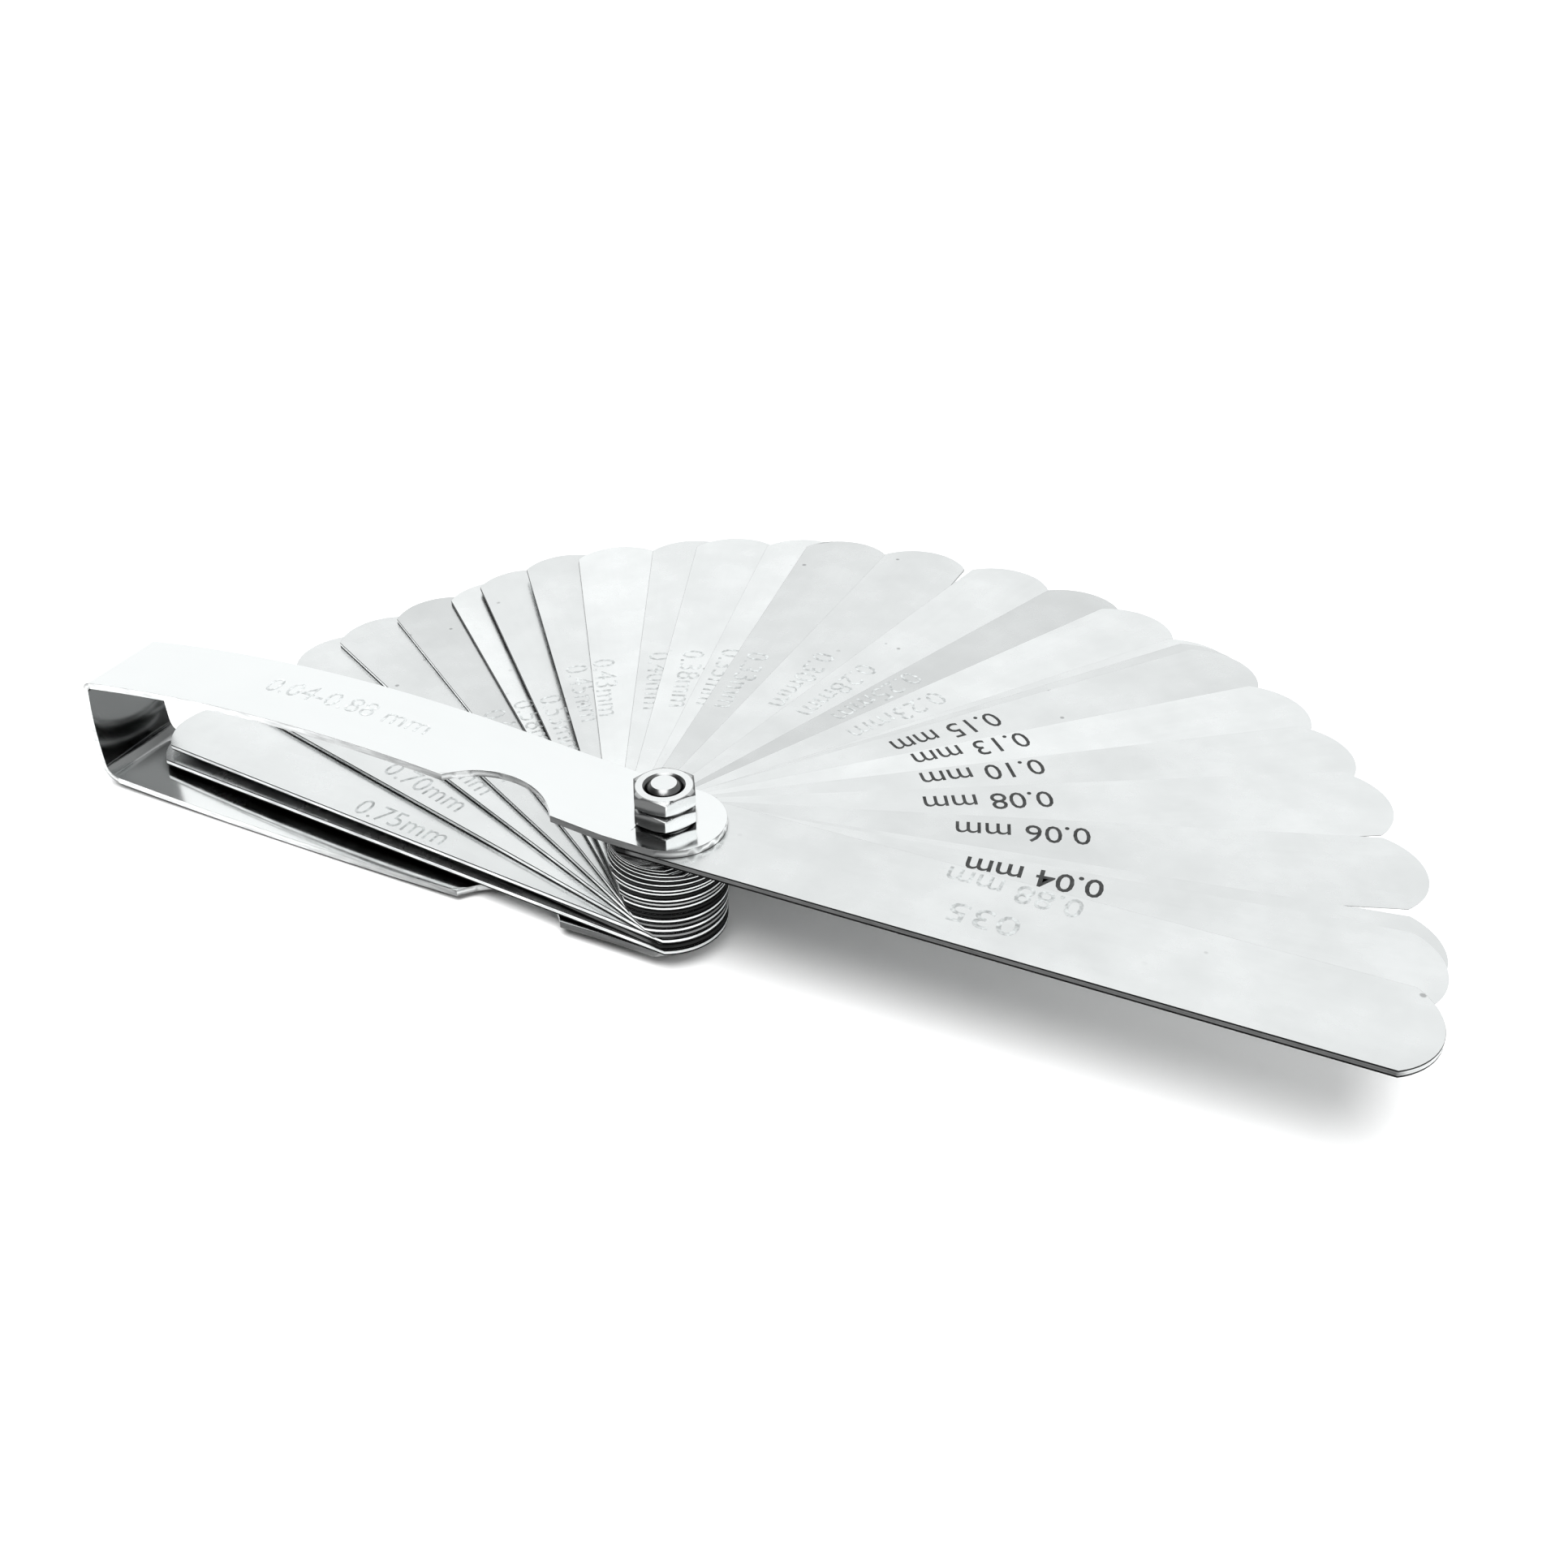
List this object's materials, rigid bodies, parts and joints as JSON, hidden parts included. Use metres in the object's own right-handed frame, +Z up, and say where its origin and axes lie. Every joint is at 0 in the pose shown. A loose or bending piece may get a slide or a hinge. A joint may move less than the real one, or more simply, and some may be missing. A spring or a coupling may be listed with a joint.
{
  "type": "feeler gauge",
  "caption": "Folding feeler gauge: steel thickness blades that swing out on one clamp bolt from a bent sheet-metal holder.",
  "frame": {"origin": "centre of the underside of the bolt head, on the bolt's axis; the bolt head stands on Z = 0", "axes": "+Z up along the clamp bolt towards the nuts; -X along the holder to its closed end; -Y towards the edge with the thumb notch"},
  "size_m": [0.1709, 0.0901, 0.0219],
  "materials": {
    "holder_steel": "polished stainless sheet",
    "fastener_steel": "bright plated steel",
    "blade_steel": "satin ground spring steel"
  },
  "bodies": {
    "holder": {"holder": "holder_steel", "pivot_bolt": "fastener_steel", "clamp_nut": "fastener_steel", "lock_nut": "fastener_steel"},
    "blade_088": {"blade_088": "blade_steel"},
    "blade_004": {"blade_004": "blade_steel"},
    "blade_005": {"blade_005": "blade_steel"},
    "blade_006": {"blade_006": "blade_steel"},
    "blade_008": {"blade_008": "blade_steel"},
    "blade_010": {"blade_010": "blade_steel"},
    "blade_013": {"blade_013": "blade_steel"},
    "blade_015": {"blade_015": "blade_steel"},
    "blade_018": {"blade_018": "blade_steel"},
    "blade_020": {"blade_020": "blade_steel"},
    "blade_023": {"blade_023": "blade_steel"},
    "blade_025": {"blade_025": "blade_steel"},
    "blade_028": {"blade_028": "blade_steel"},
    "blade_030": {"blade_030": "blade_steel"},
    "blade_033": {"blade_033": "blade_steel"},
    "blade_035": {"blade_035": "blade_steel"},
    "blade_038": {"blade_038": "blade_steel"},
    "blade_040": {"blade_040": "blade_steel"},
    "blade_043": {"blade_043": "blade_steel"},
    "blade_045": {"blade_045": "blade_steel"},
    "blade_048": {"blade_048": "blade_steel"},
    "blade_050": {"blade_050": "blade_steel"},
    "blade_053": {"blade_053": "blade_steel"},
    "blade_055": {"blade_055": "blade_steel"},
    "blade_058": {"blade_058": "blade_steel"},
    "blade_060": {"blade_060": "blade_steel"},
    "blade_063": {"blade_063": "blade_steel"},
    "blade_065": {"blade_065": "blade_steel"},
    "blade_070": {"blade_070": "blade_steel"},
    "blade_075": {"blade_075": "blade_steel"},
    "blade_080": {"blade_080": "blade_steel"},
    "blade_085": {"blade_085": "blade_steel"}
  },
  "joints": [
    {"name": "blade_088_swing", "type": "hinge", "parent": "holder", "child": "blade_088", "pos_m": [0, 0, 0], "axis": [0, 0, 1], "range_deg": [-181, 179]},
    {"name": "blade_004_swing", "type": "hinge", "parent": "holder", "child": "blade_004", "pos_m": [0, 0, 0], "axis": [0, 0, 1], "range_deg": [-188, 172]},
    {"name": "blade_005_swing", "type": "hinge", "parent": "holder", "child": "blade_005", "pos_m": [0, 0, 0], "axis": [0, 0, 1], "range_deg": [-190, 170]},
    {"name": "blade_006_swing", "type": "hinge", "parent": "holder", "child": "blade_006", "pos_m": [0, 0, 0], "axis": [0, 0, 1], "range_deg": [-200, 160]},
    {"name": "blade_008_swing", "type": "hinge", "parent": "holder", "child": "blade_008", "pos_m": [0, 0, 0], "axis": [0, 0, 1], "range_deg": [-209.5, 150.5]},
    {"name": "blade_010_swing", "type": "hinge", "parent": "holder", "child": "blade_010", "pos_m": [0, 0, 0], "axis": [0, 0, 1], "range_deg": [-217, 143]},
    {"name": "blade_013_swing", "type": "hinge", "parent": "holder", "child": "blade_013", "pos_m": [0, 0, 0], "axis": [0, 0, 1], "range_deg": [-224.5, 135.5]},
    {"name": "blade_015_swing", "type": "hinge", "parent": "holder", "child": "blade_015", "pos_m": [0, 0, 0], "axis": [0, 0, 1], "range_deg": [-232.5, 127.5]},
    {"name": "blade_018_swing", "type": "hinge", "parent": "holder", "child": "blade_018", "pos_m": [0, 0, 0], "axis": [0, 0, 1], "range_deg": [-234, 126]},
    {"name": "blade_020_swing", "type": "hinge", "parent": "holder", "child": "blade_020", "pos_m": [0, 0, 0], "axis": [0, 0, 1], "range_deg": [-235.5, 124.5]},
    {"name": "blade_023_swing", "type": "hinge", "parent": "holder", "child": "blade_023", "pos_m": [0, 0, 0], "axis": [0, 0, 1], "range_deg": [-244, 116]},
    {"name": "blade_025_swing", "type": "hinge", "parent": "holder", "child": "blade_025", "pos_m": [0, 0, 0], "axis": [0, 0, 1], "range_deg": [-250.5, 109.5]},
    {"name": "blade_028_swing", "type": "hinge", "parent": "holder", "child": "blade_028", "pos_m": [0, 0, 0], "axis": [0, 0, 1], "range_deg": [-259.5, 100.5]},
    {"name": "blade_030_swing", "type": "hinge", "parent": "holder", "child": "blade_030", "pos_m": [0, 0, 0], "axis": [0, 0, 1], "range_deg": [-269.5, 90.5]},
    {"name": "blade_033_swing", "type": "hinge", "parent": "holder", "child": "blade_033", "pos_m": [0, 0, 0], "axis": [0, 0, 1], "range_deg": [-278.5, 81.5]},
    {"name": "blade_035_swing", "type": "hinge", "parent": "holder", "child": "blade_035", "pos_m": [0, 0, 0], "axis": [0, 0, 1], "range_deg": [-283, 77]},
    {"name": "blade_038_swing", "type": "hinge", "parent": "holder", "child": "blade_038", "pos_m": [0, 0, 0], "axis": [0, 0, 1], "range_deg": [-291, 69]},
    {"name": "blade_040_swing", "type": "hinge", "parent": "holder", "child": "blade_040", "pos_m": [0, 0, 0], "axis": [0, 0, 1], "range_deg": [-296, 64]},
    {"name": "blade_043_swing", "type": "hinge", "parent": "holder", "child": "blade_043", "pos_m": [0, 0, 0], "axis": [0, 0, 1], "range_deg": [-304.5, 55.5]},
    {"name": "blade_045_swing", "type": "hinge", "parent": "holder", "child": "blade_045", "pos_m": [0, 0, 0], "axis": [0, 0, 1], "range_deg": [-310.5, 49.5]},
    {"name": "blade_048_swing", "type": "hinge", "parent": "holder", "child": "blade_048", "pos_m": [0, 0, 0], "axis": [0, 0, 1], "range_deg": [-310, 50]},
    {"name": "blade_050_swing", "type": "hinge", "parent": "holder", "child": "blade_050", "pos_m": [0, 0, 0], "axis": [0, 0, 1], "range_deg": [-309.5, 50.5]},
    {"name": "blade_053_swing", "type": "hinge", "parent": "holder", "child": "blade_053", "pos_m": [0, 0, 0], "axis": [0, 0, 1], "range_deg": [-316, 44]},
    {"name": "blade_055_swing", "type": "hinge", "parent": "holder", "child": "blade_055", "pos_m": [0, 0, 0], "axis": [0, 0, 1], "range_deg": [-315.5, 44.5]},
    {"name": "blade_058_swing", "type": "hinge", "parent": "holder", "child": "blade_058", "pos_m": [0, 0, 0], "axis": [0, 0, 1], "range_deg": [-319.5, 40.5]},
    {"name": "blade_060_swing", "type": "hinge", "parent": "holder", "child": "blade_060", "pos_m": [0, 0, 0], "axis": [0, 0, 1], "range_deg": [-326, 34]},
    {"name": "blade_063_swing", "type": "hinge", "parent": "holder", "child": "blade_063", "pos_m": [0, 0, 0], "axis": [0, 0, 1], "range_deg": [-333, 27]},
    {"name": "blade_065_swing", "type": "hinge", "parent": "holder", "child": "blade_065", "pos_m": [0, 0, 0], "axis": [0, 0, 1], "range_deg": [-338.5, 21.5]},
    {"name": "blade_070_swing", "type": "hinge", "parent": "holder", "child": "blade_070", "pos_m": [0, 0, 0], "axis": [0, 0, 1], "range_deg": [-346.5, 13.5]},
    {"name": "blade_075_swing", "type": "hinge", "parent": "holder", "child": "blade_075", "pos_m": [0, 0, 0], "axis": [0, 0, 1], "range_deg": [-355.5, 4.5]},
    {"name": "blade_080_swing", "type": "hinge", "parent": "holder", "child": "blade_080", "pos_m": [0, 0, 0], "axis": [0, 0, 1], "range_deg": [-353, 7]},
    {"name": "blade_085_swing", "type": "hinge", "parent": "holder", "child": "blade_085", "pos_m": [0, 0, 0], "axis": [0, 0, 1], "range_deg": [-356.5, 3.5]}
  ]
}
